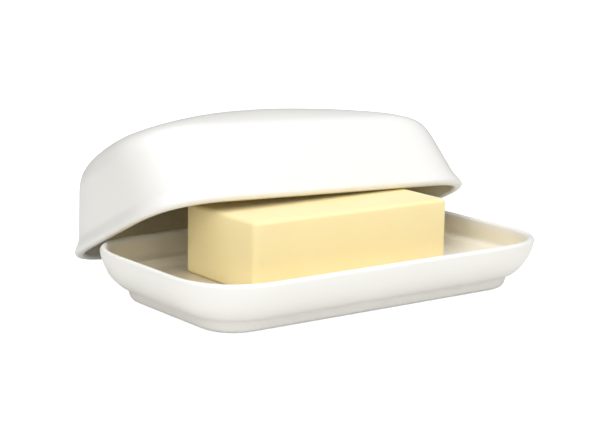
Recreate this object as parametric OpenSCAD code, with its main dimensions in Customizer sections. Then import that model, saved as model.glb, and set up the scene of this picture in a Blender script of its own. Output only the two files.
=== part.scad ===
// Butter dish: an oblong porcelain dish on a foot ring, its domed lid, and a block of butter.
// Millimetres. X runs along the dish, Y across it and Z up from the table, and the origin is the
// centre of the foot. The lid stands propped open: its front edge lies on the butter, its back edge
// hangs down behind the dish with the right end low, and the back right corner touches the table.

/* [Dish] */
// Length over the rim
dish_l = 200; // [196:1:210]
// Width over the rim
dish_w = 115.6; // [112:0.2:128]
// Height of the rim above the table
dish_h = 24.8; // [24:0.2:28]
// Corner radius of the rim, seen from above
dish_corner_r = 30.8; // [27:0.2:34]
// Thickness of the bowl wall
dish_wall = 3.6; // [3.2:0.1:4.2]
// How far the crease between bowl and foot is set in from the rim
foot_inset = 12; // [11:0.2:13]
// Height of that crease
foot_h = 6; // [5:0.2:7]
// Width of the foot ring's standing face
foot_ring_w = 3.5; // [3:0.5:5]
// Height of the floor that the butter stands on
floor_z = 11.5; // [11:0.5:12]
// Height of the ledge inside the bowl
ledge_z = 14.5; // [14:0.5:15]

/* [Lid] */
// How far the lid's lip is set in from the dish's rim when the lid is closed
lid_inset = 4.5; // [4.2:0.1:7]
// Height of the lid's walls, lip to shoulder
lid_wall_h = 45.8; // [43:0.2:49]
// Rise of the top above the shoulder
lid_crown = 11.1; // [8:0.1:13]
// Corner radius of the lip, seen from above
lid_corner_r = 28; // [24:0.5:31]
// Thickness of the lid
lid_wall = 4.2; // [3.5:0.1:5]
// How far the lip flares out past the wall
lip_flare = 2.3; // [1.6:0.1:3]
// Height of the flared lip
lip_h = 8.5; // [7:0.5:12]
// How far each long wall leans in
side_lean = 8.9; // [6:0.1:12]
// How far each end wall leans in
end_lean = 0.8; // [0:0.1:4]
// Radius of the shoulder between wall and top
shoulder_r = 16.5; // [12:0.5:18]

/* [Butter] */
// Length of the block
butter_l = 110.6; // [100:0.2:112]
// Width of the block
butter_w = 55.4; // [50:0.2:60]
// Height of the block
butter_h = 33; // [30:0.1:33]
// Radius of the block's softened edges
butter_edge_r = 2.2; // [1.5:0.1:4]

/* [Hidden] */
$fn = 72;

// Where the block stands, and how far it is turned
butter_at = [-4.1, -1.6, floor_z];
butter_turn = -0.5;

// The propped lid: the middle of its lip, and its turn, tilt and roll in degrees
lid_at = [4.6, 45.1, 25.2];
lid_turn = 1.9;
lid_tilt = -25.2;
lid_roll = 2.4;

rim_r = 1.7;                    // radius of the rim's rounded edge
bowl_fullness = 1.54;           // 1 is a straight wall, 2 a quarter ellipse
foot_slant = 1.5;               // how far the foot's side runs in from the crease down to its rounding
foot_r = 3;                     // radius of the foot's rounded outer edge
foot_inner_slope = 1;           // how far the inside of the foot ring slopes back, table to floor
wall_lean = 0.5;                // how far the inside of the bowl wall leans in, rim to ledge
ledge_inset = 12.4;             // from the rim to the ledge's inner edge
floor_inset = 19.4;             // from the rim to where the floor is flat
ledge_r = 1.8;                  // radius where the wall meets the ledge
step_r = 6;                     // radius that runs from the ledge down to the floor
step_start = 215;               // angle at which that radius starts, in degrees
base_z = 6;                     // underside of the floor, inside the foot ring
lid_l = dish_l - 2 * lid_inset;
lid_w = dish_w - 2 * lid_inset;
shoulder_z = lid_wall_h - shoulder_r; // height of the shoulder arcs' centre above the lip
lid_top = lid_wall_h + lid_crown - 0.5; // the crown starts a little below the top of the walls
side_arc_end = 52.5;            // where the long sides' shoulder runs into the crown, in degrees
end_arc_end = 74;               // the same at the ends
crown_rounding = 2;             // above 1 the crown keeps square shoulders and turns oval near the top
lip_r = 2;                      // radius of the lip's rounded edges
lip_w = 5;                      // thickness of the lip
lip_turn = 0.45;                // how steeply the lip flares at its edge, across over up
lip_steps = 3;                  // straight steps round each edge of the lip
shoulder_steps = 6;             // rings round the shoulder
crown_steps = 8;                // rings over the crown
corner_steps = 7;               // straight steps round each corner of the lid
long_points = 7;                // points along each long side between the corners
short_points = 4;               // points along each end
arc_steps = 6;                  // straight steps in a quarter of a small arc
bowl_steps = 9;                 // straight steps up the bowl wall

porcelain = [0.95, 0.95, 0.93];
butter_yellow = [0.98, 0.88, 0.56];

// Points of a small arc in the plane of [inset from the outline, height]
function arc(centre, r, from, to, steps = arc_steps) = [
    for (i = [0:steps])
        let (a = from + (to - from) * i / steps)
        centre + r * [cos(a), sin(a)]
];

// How far the bowl's outside is set in at a share of its height, 0 at the foot and 1 at the rim
function bowl_inset(share) =
    foot_inset * (1 - pow(1 - pow(1 - share, bowl_fullness), 1 / bowl_fullness));

// The outside of the bowl from the foot up to the rim's rounding
function bowl_outside() = [
    for (i = [0:bowl_steps])
        [bowl_inset(i / bowl_steps), foot_h + (dish_h - rim_r - foot_h) * i / bowl_steps]
];

// The dish's wall as [inset, height], anticlockwise from the foot's inner edge
function dish_profile() =
    let (
        face_inset = foot_inset + foot_slant + foot_r,
        inner_inset = face_inset + foot_ring_w,
        ledge_wall = dish_wall + wall_lean
    )
    concat(
        [[dish_corner_r, base_z], [inner_inset + foot_inner_slope, base_z], [inner_inset, 0]],
        arc([face_inset, foot_r], foot_r, 270, 180),
        bowl_outside(),
        arc([rim_r, dish_h - rim_r], rim_r, 180, 90),
        arc([dish_wall - rim_r, dish_h - rim_r], rim_r, 90, 0),
        arc([ledge_wall + ledge_r, ledge_z + ledge_r], ledge_r, 180, 270),
        [[ledge_inset, ledge_z]],
        arc([floor_inset, floor_z + step_r], step_r, step_start, 270),
        [[dish_corner_r, floor_z]]
    );

// Carries a profile of [inset, height] round a rounded rectangle, with its corners turned about
// their own centres, and leaves the middle open.
module carried_round(length, width, corner_r, profile) {
    section = [for (p = profile) [corner_r - p[0], p[1]]];
    half_l = length / 2 - corner_r;
    half_w = width / 2 - corner_r;
    for (side = [0:3]) {
        out = side % 2 == 0 ? half_l : half_w;
        along = side % 2 == 0 ? half_w : half_l;
        rotate(90 * side) {
            translate([out, along, 0])
                rotate([90, 0, 0])
                    linear_extrude(2 * along)
                        polygon(section);
            translate([out, along, 0])
                rotate_extrude(angle = 90)
                    polygon(section);
        }
    }
}

// Fills the middle that carried_round leaves, between two heights
module middle(length, width, corner_r, low, high) {
    size = [length - 2 * corner_r, width - 2 * corner_r, high - low];
    translate([-size[0] / 2, -size[1] / 2, low])
        cube(size);
}

module dish() {
    color(porcelain) {
        carried_round(dish_l, dish_w, dish_corner_r, dish_profile());
        middle(dish_l, dish_w, dish_corner_r, base_z, floor_z);
    }
}

module butter() {
    r = butter_edge_r;
    profile = concat(arc([r, r], r, 270, 180), arc([r, butter_h - r], r, 180, 90));
    color(butter_yellow)
        translate(butter_at)
            rotate(butter_turn) {
                carried_round(butter_l, butter_w, r, profile);
                middle(butter_l, butter_w, r, 0, butter_h);
            }
}

// The slope in degrees of a lid wall that leans in and meets its shoulder on a tangent
function wall_angle(lean, radius) =
    let (run = [lean + radius, shoulder_z - lip_h])
    atan2(run[1], run[0]) + asin(radius / norm(run));

// Half the lid's extent at a height, along X or along Y: a wall that leans in, a round shoulder that
// starts on a tangent, and a crown that is flat at the very top. Inside, the wall is taken off.
function lid_half(z, outer, lean, arc_end, wall) =
    let (
        half = outer - lip_flare - wall,
        radius = shoulder_r - wall,
        angle = wall_angle(lean, radius),
        wall_top = shoulder_z + radius * cos(angle),
        arc_top = shoulder_z + radius * sin(arc_end),
        arc_half = half - lean - radius * (1 - cos(arc_end))
    )
    z < wall_top ? half - (z - lip_h) / tan(angle)
    : z < arc_top ? half - lean - radius + sqrt(radius * radius - pow(z - shoulder_z, 2))
    : arc_half * sqrt(max(0, (lid_top - wall - z) / (lid_top - wall - arc_top)));

// Points of a rounded rectangle at a height, which turns towards an ellipse by a share
function ring(half_l, half_w, corner_r, z, ellipse_share = 0) =
    let (
        r = min(corner_r, half_w * 0.98),
        centre = [half_l - r, half_w - r],
        outline = [for (q = [0:3])
            let (
                sx = q == 0 || q == 3 ? 1 : -1,
                sy = q < 2 ? 1 : -1,
                count = q % 2 == 0 ? long_points : short_points,
                along = q % 2 == 0 ? [-2 * sx * centre[0], 0] : [0, -2 * sy * centre[1]],
                last = [sx * centre[0] + r * cos(90 * q + 90), sy * centre[1] + r * sin(90 * q + 90)]
            )
            each concat(
                [for (i = [0:corner_steps])
                    let (a = 90 * q + 90 * i / corner_steps)
                    [sx * centre[0] + r * cos(a), sy * centre[1] + r * sin(a)]],
                [for (i = [1:count]) last + along * i / (count + 1)])]
    )
    [for (p = outline)
        let (a = atan2(p[1] / half_w, p[0] / half_l), e = [half_l * cos(a), half_w * sin(a)])
        [each (p + (e - p) * ellipse_share), z]];

// Heights of the lid's rings, from the top of the lip up the wall, round the shoulder and to the top
function lid_heights(wall) =
    let (crown_z = shoulder_z + (shoulder_r - wall) * sin(side_arc_end), top = lid_top - wall)
    concat(
        [lip_h, (lip_h + shoulder_z) / 2],
        [for (i = [0:shoulder_steps]) shoulder_z + (crown_z - shoulder_z) * i / shoulder_steps],
        [for (i = [crown_steps - 1:-1:0])
            let (u = max(i, 0.2) / crown_steps)
            top - (top - crown_z) * u * u]
    );

// The lid's outside (wall 0) or inside at a height above its lip
function lid_ring(z, wall) =
    let (share = max(0, (z - shoulder_z - shoulder_r / 2) / (lid_top - shoulder_z - shoulder_r / 2)))
    ring(
        lid_half(z, lid_l / 2, end_lean, end_arc_end, wall),
        lid_half(z, lid_w / 2, side_lean, side_arc_end, wall),
        lid_corner_r - wall, z, pow(share, crown_rounding)
    );

// How far the flared lip is set in at a share of its height: it leaves the edge at lip_turn and
// runs smoothly into the leaning wall
function lip_inset(share, lean) =
    let (height = lip_h - lip_r, wall_slope = 1 / tan(wall_angle(lean, shoulder_r)))
    lip_flare * (3 * pow(share, 2) - 2 * pow(share, 3))
        + height * lip_turn * share * pow(1 - share, 2)
        - height * wall_slope * pow(share, 2) * (1 - share);

// Rings of the lid from the inside of the top, down to the lip and up again to the outside of the top
function lid_rings() =
    let (
        inside = lid_heights(lid_wall),
        edge = concat(
            arc([lip_w - lip_r, lip_r], lip_r, 0, -90, lip_steps),
            arc([lip_r, lip_r], lip_r, 270, 180, lip_steps)
        ),
        flare = [for (i = [1:lip_steps]) i / (lip_steps + 1)]
    )
    concat(
        [for (i = [len(inside) - 1:-1:0]) lid_ring(inside[i], lid_wall)],
        [for (p = edge) ring(lid_l / 2 - p[0], lid_w / 2 - p[0], lid_corner_r - p[0], p[1])],
        [for (share = flare)
            ring(
                lid_l / 2 - lip_inset(share, end_lean),
                lid_w / 2 - lip_inset(share, side_lean),
                lid_corner_r,
                lip_r + (lip_h - lip_r) * share
            )],
        [for (z = lid_heights(0)) lid_ring(z, 0)]
    );

// A closed solid through a list of rings with the same number of points
module loft(rings) {
    n = len(rings[0]);
    points = [for (r = rings) each r];
    bands = [for (k = [0:len(rings) - 2]) for (i = [0:n - 1])
        let (j = (i + 1) % n, a = k * n, b = (k + 1) * n)
        each [[a + i, b + i, b + j], [a + i, b + j, a + j]]];
    first = [for (i = [0:n - 1]) i];
    last = [for (i = [n - 1:-1:0]) (len(rings) - 1) * n + i];
    polyhedron(points, concat([first], bands, [last]));
}

module lid() {
    color(porcelain)
        translate(lid_at)
            rotate(lid_turn)
                rotate([lid_tilt, 0, 0])
                    rotate([0, lid_roll, 0])
                        loft(lid_rings());
}

dish();
lid();
butter();
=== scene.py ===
"""A porcelain butter dish: an oblong dish on a foot ring, its domed lid and a block of butter.

The CAD model is the frame. Each of its three solids is replaced by a finer mesh of the same shape,
with rounded edges, glaze and butter. Lengths are in millimetres until a mesh is made.
"""

import math

import bmesh
import bpy
from mathutils import Euler, Matrix, Vector


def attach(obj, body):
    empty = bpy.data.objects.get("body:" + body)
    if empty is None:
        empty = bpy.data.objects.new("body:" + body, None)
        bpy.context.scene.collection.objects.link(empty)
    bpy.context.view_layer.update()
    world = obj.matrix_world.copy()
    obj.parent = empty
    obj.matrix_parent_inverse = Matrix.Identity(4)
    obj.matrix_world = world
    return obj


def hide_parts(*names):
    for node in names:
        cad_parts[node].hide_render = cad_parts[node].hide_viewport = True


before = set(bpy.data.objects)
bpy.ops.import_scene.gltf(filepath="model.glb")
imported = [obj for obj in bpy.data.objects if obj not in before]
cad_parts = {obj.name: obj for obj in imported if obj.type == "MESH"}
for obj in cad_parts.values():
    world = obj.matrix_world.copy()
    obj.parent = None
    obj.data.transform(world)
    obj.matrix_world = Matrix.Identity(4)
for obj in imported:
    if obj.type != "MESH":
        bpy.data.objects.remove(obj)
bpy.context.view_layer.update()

MM = 0.001

# ---------------------------------------------------------------- sizes, as in the CAD source
DISH_L, DISH_W, DISH_H = 200.0, 115.6, 24.8
DISH_CORNER_R = 30.8
DISH_WALL = 3.6
FOOT_INSET, FOOT_H, FOOT_RING_W = 12.0, 6.0, 3.5
FOOT_SLANT, FOOT_R = 1.5, 3.0
FLOOR_Z, LEDGE_Z = 11.5, 14.5
RIM_R = 1.7
BOWL_FULLNESS = 1.54
WALL_LEAN = 0.5
LEDGE_INSET, FLOOR_INSET = 12.4, 19.4
LEDGE_R, STEP_R = 1.8, 6.0
BASE_Z = 6.0

LID_INSET = 4.5
LID_L, LID_W = DISH_L - 2 * LID_INSET, DISH_W - 2 * LID_INSET
LID_WALL_H, LID_CROWN = 45.8, 11.1
LID_CORNER_R, LID_WALL = 28.0, 4.2
LIP_FLARE, LIP_H, LIP_R, LIP_W = 2.3, 8.5, 2.0, 5.0
SIDE_LEAN, END_LEAN = 8.9, 0.8
SHOULDER_R = 16.5
SHOULDER_Z = LID_WALL_H - SHOULDER_R
CROWN_DROP = 0.5                # the crown starts a little below the top of the walls
LID_TOP = LID_WALL_H + LID_CROWN - CROWN_DROP
SIDE_ARC_END, END_ARC_END = 52.5, 74.0
CROWN_ROUNDING = 2.0
LID_AT, LID_TURN, LID_TILT, LID_ROLL = (4.6, 45.1, 25.2), 1.9, -25.2, 2.4

BUTTER_L, BUTTER_W, BUTTER_H = 110.6, 55.4, 33.0
BUTTER_EDGE_R = 2.2
BUTTER_AT, BUTTER_TURN = (-4.1, -1.6, FLOOR_Z), -0.5

# ---------------------------------------------------------------- sizes, only in this model
CENTRE_INSET = 30.0             # the innermost rings of the dish, which a flat face closes
LIP_TURN = 0.2                  # the lip's slope where it leaves its edge, which the CAD source has as 0.45
SOFT_CORNER = 1.21              # a softer corner starts this much earlier than a round one
SOFT_POWER = 2.5                # and follows this power, where a round one has 2
LEAST_R = 0.01                  # the sharpest corner that a ring may have
MOST_R = 0.98                   # and the roundest, as a share of half a side
BUTTER_LEAST_R = 0.05           # the sharpest corner of the butter's rings
WALL_RINGS, SHOULDER_RINGS, CROWN_RINGS = 8, 14, 24
CROWN_TIP = 0.15                # the size of the crown's last ring, as a share of a ring's step

# ---------------------------------------------------------------- colours and finish
DISH_GLAZE = ((0.92, 0.905, 0.85), (0.905, 0.885, 0.825))
# painted shade: the hollow sides of dish and lid get darker, warmer colours, which stand for the shade and
# the warm light thrown off the butter inside them
DISH_PAINTED_SHADE = (0.92, 0.855, 0.69)
# painted shade: the lid is the same porcelain as the dish, but its tones are a little darker to make up for
# the stronger light that falls on it
LID_GLAZE_PAINTED_DARKER = ((0.88, 0.865, 0.815), (0.87, 0.85, 0.795))
LID_PAINTED_SHADE = (0.78, 0.69, 0.47)
GLAZE_ROUGHNESS = (0.285, 0.335)
BUTTER_TONES = ((1.0, 0.81, 0.42), (1.0, 0.845, 0.485))
TABLE_WHITE = (0.86, 0.85, 0.82)


# ---------------------------------------------------------------- outlines and lofts
def arc(cx, cy, r, start, end, steps):
    """Points of an arc from one angle to another, in degrees."""
    out = []
    for i in range(steps + 1):
        a = math.radians(start + (end - start) * i / steps)
        out.append((cx + r * math.cos(a), cy + r * math.sin(a)))
    return out


def soft_corner(x0, y0, r, a):
    """A point of a corner that starts more softly than a round one."""
    c, s = math.cos(a), math.sin(a)
    power = 2 / SOFT_POWER
    return x0 + r * math.copysign(abs(c) ** power, c), y0 + r * math.copysign(abs(s) ** power, s)


def ring(half_l, half_w, corner_r, z, oval=0.0, corner=16, long=28, short=14):
    """A rounded rectangle at a height, with softly starting corners, turned towards an ellipse.

    Corner, long and short are the number of steps in each corner and along each side.
    """
    r = max(LEAST_R, min(corner_r * SOFT_CORNER, half_w * MOST_R, half_l * MOST_R))
    cx, cy = half_l - r, half_w - r
    centres = [(cx, cy), (-cx, cy), (-cx, -cy), (cx, -cy)]
    flat = []
    for q in range(4):
        x0, y0 = centres[q]
        turn = [
            soft_corner(x0, y0, r, math.radians(90 * (q + i / corner)))
            for i in range(corner + 1)]
        flat += turn
        x1, y1 = centres[(q + 1) % 4]
        nx = x1 + r * math.cos(math.radians(90 * q + 90))
        ny = y1 + r * math.sin(math.radians(90 * q + 90))
        count = long if q % 2 == 0 else short
        lx, ly = turn[-1]
        for i in range(1, count + 1):
            s = i / (count + 1)
            flat.append((lx + (nx - lx) * s, ly + (ny - ly) * s))
    points = []
    for x, y in flat:
        a = math.atan2(y / half_w, x / half_l)
        ex, ey = half_l * math.cos(a), half_w * math.sin(a)
        points.append(Vector((x + (ex - x) * oval, y + (ey - y) * oval, z)))
    return points


def loft(name, rings, inner=()):
    """A smooth shaded mesh through rings with the same number of points.

    Inner has a number for each ring, 1 on a hollow side, and the mesh keeps it as the attribute
    "inner". Without it the attribute is 0 everywhere.
    """
    mesh = bpy.data.meshes.new(name)
    bm = bmesh.new()
    hollow = bm.verts.layers.float.new("inner")
    made = [[bm.verts.new(p * MM) for p in r] for r in rings]
    for verts, share in zip(made, inner):
        for v in verts:
            v[hollow] = share
    n = len(rings[0])
    for low, high in zip(made, made[1:]):
        for i in range(n):
            j = (i + 1) % n
            bm.faces.new((low[i], low[j], high[j], high[i]))
    bm.faces.new(list(reversed(made[0])))
    bm.faces.new(made[-1])
    bmesh.ops.recalc_face_normals(bm, faces=bm.faces)
    for f in bm.faces:
        f.smooth = True
    bm.to_mesh(mesh)
    bm.free()
    obj = bpy.data.objects.new(name, mesh)
    bpy.context.scene.collection.objects.link(obj)
    return obj


# ---------------------------------------------------------------- dish
def bowl_inset(share):
    """How far the bowl's outside is set in at a share of its height."""
    return FOOT_INSET * (1 - (1 - (1 - share) ** BOWL_FULLNESS) ** (1 / BOWL_FULLNESS))


def dish_rings():
    """The dish's rings, from the middle of the underside, out, over the rim and in, and which of them
    are on its hollow side. Each part of the profile is a list of (inset, z)."""
    face_in = FOOT_INSET + FOOT_SLANT + FOOT_R
    foot_in = face_in + FOOT_RING_W
    # the underside, and down the inside of the foot ring
    under = [(CENTRE_INSET, BASE_Z), (26.0, BASE_Z), (foot_in + 2.0, BASE_Z)]
    under += [(foot_in + 1.2, BASE_Z - 0.3), (foot_in + 0.8, BASE_Z - 1.0), (foot_in + 0.5, 2.0)]
    under += arc(foot_in - 0.4, 0.7, 0.7, 0, -90, 4)
    # up the outside of the foot ring, to the crease
    out = arc(face_in, FOOT_R, FOOT_R, 270, 190, 7)
    out += [(FOOT_INSET + 1.0, FOOT_H - 1.7), (FOOT_INSET + 0.62, FOOT_H - 0.8)]
    out += [(FOOT_INSET + 0.35, FOOT_H - 0.2), (FOOT_INSET - 0.15, FOOT_H + 0.22)]
    # the bulging bowl, and over the rim
    steps = 22
    height = DISH_H - RIM_R - FOOT_H
    bowl = [(bowl_inset(i / steps), FOOT_H + height * i / steps) for i in range(1, steps + 1)]
    rim = arc(RIM_R, DISH_H - RIM_R, RIM_R, 180, 90, 6)[1:]
    rim += arc(DISH_WALL - RIM_R, DISH_H - RIM_R, RIM_R, 90, 0, 6)[1:]
    # down the inside, along the ledge and down its step to the floor
    inner = [(DISH_WALL + 0.1, DISH_H - 4.0), (DISH_WALL + WALL_LEAN - 0.1, LEDGE_Z + 4.0)]
    inner += arc(DISH_WALL + WALL_LEAN + LEDGE_R, LEDGE_Z + LEDGE_R, LEDGE_R, 180, 270, 6)
    inner += [(LEDGE_INSET - 2.5, LEDGE_Z), (LEDGE_INSET - 1.2, LEDGE_Z - 0.03)]
    inner += arc(LEDGE_INSET - 0.4, LEDGE_Z - 1.3, 1.3, 80, 38, 4)
    inner += arc(FLOOR_INSET, FLOOR_Z + STEP_R, STEP_R, 232, 270, 6)
    inner += [(24.0, FLOOR_Z), (CENTRE_INSET, FLOOR_Z)]
    profile = under + out + bowl + rim + inner
    rings = [ring(DISH_L / 2 - i, DISH_W / 2 - i, DISH_CORNER_R - i, z) for i, z in profile]
    return rings, [0.0] * (len(profile) - len(inner)) + [1.0] * len(inner)


# ---------------------------------------------------------------- lid
def wall_angle(lean, radius):
    """The slope of a lid wall that leans in and meets its shoulder on a tangent."""
    run = (lean + radius, SHOULDER_Z - LIP_H)
    return math.atan2(run[1], run[0]) + math.asin(radius / math.hypot(*run))


def lip_inset(share, lean):
    """The flared lip: it leaves the edge at LIP_TURN and runs smoothly into the leaning wall."""
    height = LIP_H - LIP_R
    slope = 1 / math.tan(wall_angle(lean, SHOULDER_R))
    flare = LIP_FLARE * (3 * share ** 2 - 2 * share ** 3)
    return flare + height * (LIP_TURN * share * (1 - share) ** 2 - slope * share ** 2 * (1 - share))


def lid_half(z, outer, lean, arc_end, wall):
    """Half the lid's extent at a height: leaning wall, round shoulder, crown."""
    half = outer - LIP_FLARE - wall
    radius = SHOULDER_R - wall
    angle = wall_angle(lean, radius)
    wall_top = SHOULDER_Z + radius * math.cos(angle)
    end = math.radians(arc_end)
    arc_top = SHOULDER_Z + radius * math.sin(end)
    arc_half = half - lean - radius * (1 - math.cos(end))
    if z < wall_top:
        return half - (z - LIP_H) / math.tan(angle)
    if z < arc_top:
        return half - lean - radius + math.sqrt(radius ** 2 - (z - SHOULDER_Z) ** 2)
    top = LID_TOP - wall
    return arc_half * math.sqrt(max(0.0, (top - z) / (top - arc_top)))


def lid_heights(wall):
    """The heights of the lid's rings, from the lip up: leaning wall, shoulder, crown."""
    crown_z = SHOULDER_Z + (SHOULDER_R - wall) * math.sin(math.radians(SIDE_ARC_END))
    top = LID_TOP - wall
    low = [LIP_H + (SHOULDER_Z - LIP_H) * i / WALL_RINGS for i in range(WALL_RINGS)]
    turn = [
        SHOULDER_Z + (crown_z - SHOULDER_Z) * i / SHOULDER_RINGS
        for i in range(SHOULDER_RINGS)]
    crown = [
        top - (top - crown_z) * (max(i, CROWN_TIP) / CROWN_RINGS) ** 2
        for i in range(CROWN_RINGS, -1, -1)]
    return low + turn + crown


def lid_ring(z, wall):
    """One ring of the lid, set in by the wall. It turns oval towards the top of the crown."""
    low = SHOULDER_Z + SHOULDER_R / 2
    share = max(0.0, (z - low) / (LID_TOP - low)) ** CROWN_ROUNDING
    return ring(
        lid_half(z, LID_L / 2, END_LEAN, END_ARC_END, wall),
        lid_half(z, LID_W / 2, SIDE_LEAN, SIDE_ARC_END, wall),
        LID_CORNER_R - wall, z, share)


def lid_rings():
    """The lid's rings, from the top of its hollow, down, round the lip and up the outside, and which
    of them are on its hollow side."""
    inside = [lid_ring(z, LID_WALL) for z in reversed(lid_heights(LID_WALL))]
    lip = arc(LIP_W - LIP_R, LIP_R, LIP_R, 0, -90, 6) + arc(LIP_R, LIP_R, LIP_R, 270, 180, 6)
    edge = [ring(LID_L / 2 - i, LID_W / 2 - i, LID_CORNER_R - i, z) for i, z in lip]
    steps = 9
    for i in range(1, steps):
        s = i / steps
        edge.append(ring(
            LID_L / 2 - lip_inset(s, END_LEAN), LID_W / 2 - lip_inset(s, SIDE_LEAN),
            LID_CORNER_R, LIP_R + (LIP_H - LIP_R) * s))
    outside = [lid_ring(z, 0.0) for z in lid_heights(0.0)]
    return inside + edge + outside, [1.0] * len(inside) + [0.0] * (len(edge) + len(outside))


def pose_lid(obj):
    """Put the lid where it lies at rest, propped open on the butter."""
    turn = Matrix.Rotation(math.radians(LID_TURN), 4, "Z")
    tilt = Matrix.Rotation(math.radians(LID_TILT), 4, "X")
    roll = Matrix.Rotation(math.radians(LID_ROLL), 4, "Y")
    place = Matrix.Translation(Vector(LID_AT) * MM)
    obj.data.transform(place @ turn @ tilt @ roll)
    return obj


# ---------------------------------------------------------------- butter
def butter_rings():
    """The block's rings, from the bottom edge up."""
    r = BUTTER_EDGE_R
    steps = 7
    low = arc(r, r, r, 270, 180, steps)
    high = arc(r, BUTTER_H - r, r, 180, 90, steps)
    levels = 14
    mid = [(0.0, r + (BUTTER_H - 2 * r) * i / levels) for i in range(1, levels)]
    return [
        ring(
            BUTTER_L / 2 - i, BUTTER_W / 2 - i, max(r - i, BUTTER_LEAST_R), z,
            corner=7, long=60, short=30)
        for i, z in low + mid + high]


def pose_butter(obj):
    """Stand the block on the dish's floor, very slightly turned."""
    turn = Matrix.Rotation(math.radians(BUTTER_TURN), 4, "Z")
    obj.data.transform(Matrix.Translation(Vector(BUTTER_AT) * MM) @ turn)
    return obj


# ---------------------------------------------------------------- materials
def new_material(name):
    mat = bpy.data.materials.new(name)
    mat.use_nodes = True
    nodes, links = mat.node_tree.nodes, mat.node_tree.links
    return mat, nodes, links, nodes["Principled BSDF"]


def noise(nodes, links, coords, scale, detail):
    """A noise that stays put on the piece."""
    made = nodes.new("ShaderNodeTexNoise")
    made.inputs["Scale"].default_value = scale
    made.inputs["Detail"].default_value = detail
    links.new(coords.outputs["Object"], made.inputs["Vector"])
    return made.outputs["Fac"]


def two_tones(nodes, links, share, low, high):
    """One colour that turns into another as the share goes from 0 to 1. The low one is a colour or
    an output."""
    made = nodes.new("ShaderNodeMix")
    made.data_type = "RGBA"
    if isinstance(low, tuple):
        made.inputs["A"].default_value = (*low, 1)
    else:
        links.new(low, made.inputs["A"])
    made.inputs["B"].default_value = (*high, 1)
    links.new(share, made.inputs["Factor"])
    return made.outputs["Result"]


def uneven(nodes, links, bsdf, height, strength, distance):
    """A faintly uneven surface. The distance is in metres."""
    bump = nodes.new("ShaderNodeBump")
    bump.inputs["Strength"].default_value = strength
    bump.inputs["Distance"].default_value = distance
    links.new(height, bump.inputs["Height"])
    links.new(bump.outputs["Normal"], bsdf.inputs["Normal"])


def glaze(name, tones, hollow_painted_shade):
    """White glazed porcelain: a glossy skin with faint waves and a drifting tone, and painted shade
    on its hollow side: a darker, warmer colour there."""
    mat, nodes, links, bsdf = new_material(name)
    coords = nodes.new("ShaderNodeTexCoord")
    cloud = noise(nodes, links, coords, scale=22.0, detail=3.0)
    hollow = nodes.new("ShaderNodeAttribute")
    hollow.attribute_name = "inner"
    outside = two_tones(nodes, links, cloud, *tones)
    # the hollow side is painted with shade, a darker and warmer colour
    colour = two_tones(nodes, links, hollow.outputs["Fac"], outside, hollow_painted_shade)
    links.new(colour, bsdf.inputs["Base Color"])
    rough = nodes.new("ShaderNodeMapRange")
    rough.inputs["To Min"].default_value, rough.inputs["To Max"].default_value = GLAZE_ROUGHNESS
    links.new(cloud, rough.inputs["Value"])
    links.new(rough.outputs["Result"], bsdf.inputs["Roughness"])
    wave = noise(nodes, links, coords, scale=45.0, detail=2.0)
    uneven(nodes, links, bsdf, wave, strength=0.06, distance=0.0006)
    bsdf.inputs["IOR"].default_value = 1.5
    bsdf.inputs["Coat Weight"].default_value = 0.15
    bsdf.inputs["Coat Roughness"].default_value = 0.12
    return mat


def butter_material():
    """Butter: a soft, slightly uneven yellow that lets a little light in."""
    mat, nodes, links, bsdf = new_material("butter")
    coords = nodes.new("ShaderNodeTexCoord")
    cloud = noise(nodes, links, coords, scale=30.0, detail=4.0)
    links.new(two_tones(nodes, links, cloud, *BUTTER_TONES), bsdf.inputs["Base Color"])
    uneven(nodes, links, bsdf, cloud, strength=0.2, distance=0.0004)
    bsdf.inputs["Roughness"].default_value = 0.45
    bsdf.inputs["Subsurface Weight"].default_value = 0.25
    bsdf.inputs["Subsurface Radius"].default_value = (0.004, 0.003, 0.0015)
    bsdf.inputs["Subsurface Scale"].default_value = 1.0
    return mat


# ---------------------------------------------------------------- pieces
dish = loft("dish_porcelain", *dish_rings())
dish.data.materials.append(glaze("dish_glaze", DISH_GLAZE, DISH_PAINTED_SHADE))
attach(dish, "dish")
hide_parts("dish")

lid = pose_lid(loft("lid_porcelain", *lid_rings()))
# the lid's glaze is painted a little darker than the dish's, as shade
lid.data.materials.append(glaze("lid_glaze", LID_GLAZE_PAINTED_DARKER, LID_PAINTED_SHADE))
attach(lid, "lid")
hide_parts("lid")

butter = pose_butter(loft("butter_block", butter_rings()))
butter.data.materials.append(butter_material())
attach(butter, "dish")
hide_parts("butter")


# ---------------------------------------------------------------- stage, light and camera
FLOOR_HALF = 6.0                # metres from the middle of the table top to its sides
FLOOR_DROP = 0.0002             # how far it lies under the foot, in metres
FLOOR_GLOW = 0.8                # how much whiter it looks than it is
SKY_LIGHT, SKY_SEEN = 0.16, 1.0
COOL = (0.95, 0.965, 1.0)

CAMERA_AZ, CAMERA_EL, CAMERA_DIST, CAMERA_ROLL = -36.8, 11.16, 774.5, 1.0
CAMERA_AIM = (-4.17, 10.11, 36.22)
LENS, SENSOR_W = 97.25, 36.0


def show_camera(tree, thrown, seen, output):
    """Show camera rays one shader, and light the scene with another."""
    path = tree.nodes.new("ShaderNodeLightPath")
    mix = tree.nodes.new("ShaderNodeMixShader")
    tree.links.new(path.outputs["Is Camera Ray"], mix.inputs[0])
    tree.links.new(thrown.outputs[0], mix.inputs[1])
    tree.links.new(seen.outputs[0], mix.inputs[2])
    tree.links.new(mix.outputs[0], tree.nodes[output].inputs["Surface"])


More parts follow.
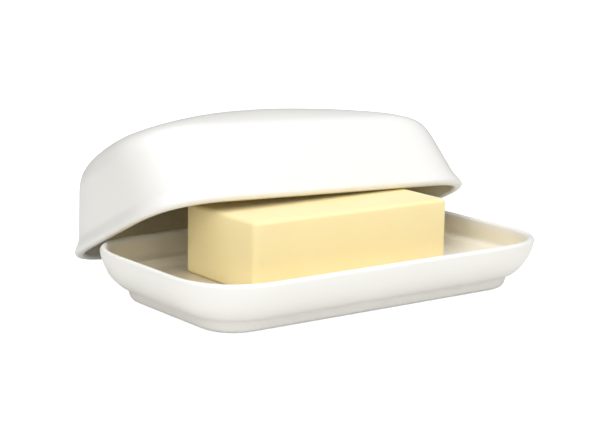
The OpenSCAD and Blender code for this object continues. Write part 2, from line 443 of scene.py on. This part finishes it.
def make_floor():
    """A plain white table top. It looks evenly white, and throws less light back up than it shows."""
    mesh = bpy.data.meshes.new("table_top")
    bm = bmesh.new()
    grid = bmesh.ops.create_grid(bm, x_segments=8, y_segments=8, size=FLOOR_HALF)
    for v in grid["verts"]:
        v.co.z = -FLOOR_DROP
    bm.to_mesh(mesh)
    bm.free()
    floor = bpy.data.objects.new("table_top", mesh)
    bpy.context.scene.collection.objects.link(floor)
    mat, nodes, links, bsdf = new_material("table_white")
    bsdf.inputs["Base Color"].default_value = (*TABLE_WHITE, 1)
    bsdf.inputs["Roughness"].default_value = 0.9
    glow = nodes.new("ShaderNodeEmission")
    glow.inputs["Strength"].default_value = FLOOR_GLOW
    bright = nodes.new("ShaderNodeAddShader")
    links.new(bsdf.outputs[0], bright.inputs[0])
    links.new(glow.outputs[0], bright.inputs[1])
    show_camera(mat.node_tree, bsdf, bright, "Material Output")
    floor.data.materials.append(mat)


def area_light(name, place, aim, size, power):
    data = bpy.data.lights.new(name, "AREA")
    data.shape = "RECTANGLE"
    data.size, data.size_y = size
    data.energy = power
    data.color = COOL
    obj = bpy.data.objects.new(name, data)
    obj.location = place
    obj.rotation_mode = "QUATERNION"
    obj.rotation_quaternion = (Vector(aim) - Vector(place)).to_track_quat("-Z", "Y")
    bpy.context.scene.collection.objects.link(obj)
    return obj


def make_world():
    """A dim white sky, which looks plain white to the camera."""
    world = bpy.data.worlds.new("studio")
    world.use_nodes = True
    tree = world.node_tree
    sky = tree.nodes["Background"]
    seen = tree.nodes.new("ShaderNodeBackground")
    for node, strength in ((sky, SKY_LIGHT), (seen, SKY_SEEN)):
        node.inputs["Color"].default_value = (1, 1, 1, 1)
        node.inputs["Strength"].default_value = strength
    show_camera(tree, sky, seen, "World Output")
    bpy.context.scene.world = world
    bpy.context.scene.view_settings.view_transform = "Standard"


def make_camera():
    data = bpy.data.cameras.new("camera")
    data.lens = LENS
    data.sensor_width = SENSOR_W
    data.clip_start, data.clip_end = 0.05, 20.0
    cam = bpy.data.objects.new("camera", data)
    a, e = math.radians(CAMERA_AZ), math.radians(CAMERA_EL)
    back = Vector((math.sin(a) * math.cos(e), -math.cos(a) * math.cos(e), math.sin(e)))
    cam.location = (Vector(CAMERA_AIM) + back * CAMERA_DIST) * MM
    cam.rotation_mode = "QUATERNION"
    level = (-back).to_track_quat("-Z", "Y")
    cam.rotation_quaternion = level @ Euler((0, 0, math.radians(CAMERA_ROLL))).to_quaternion()
    bpy.context.scene.collection.objects.link(cam)
    bpy.context.scene.camera = cam


make_floor()
area_light("key", place=(0.4, -1.0, 0.95), aim=(0, 0, 0.03), size=(1.5, 1.1), power=10.2)
area_light("top", place=(0.0, 0.1, 1.3), aim=(0, 0, 0), size=(1.4, 1.0), power=12.0)
left = area_light("left", place=(-1.0, -0.55, 0.6), aim=(0, 0, 0.02), size=(1.1, 0.9), power=7.8)
left.visible_glossy = False
make_world()
make_camera()
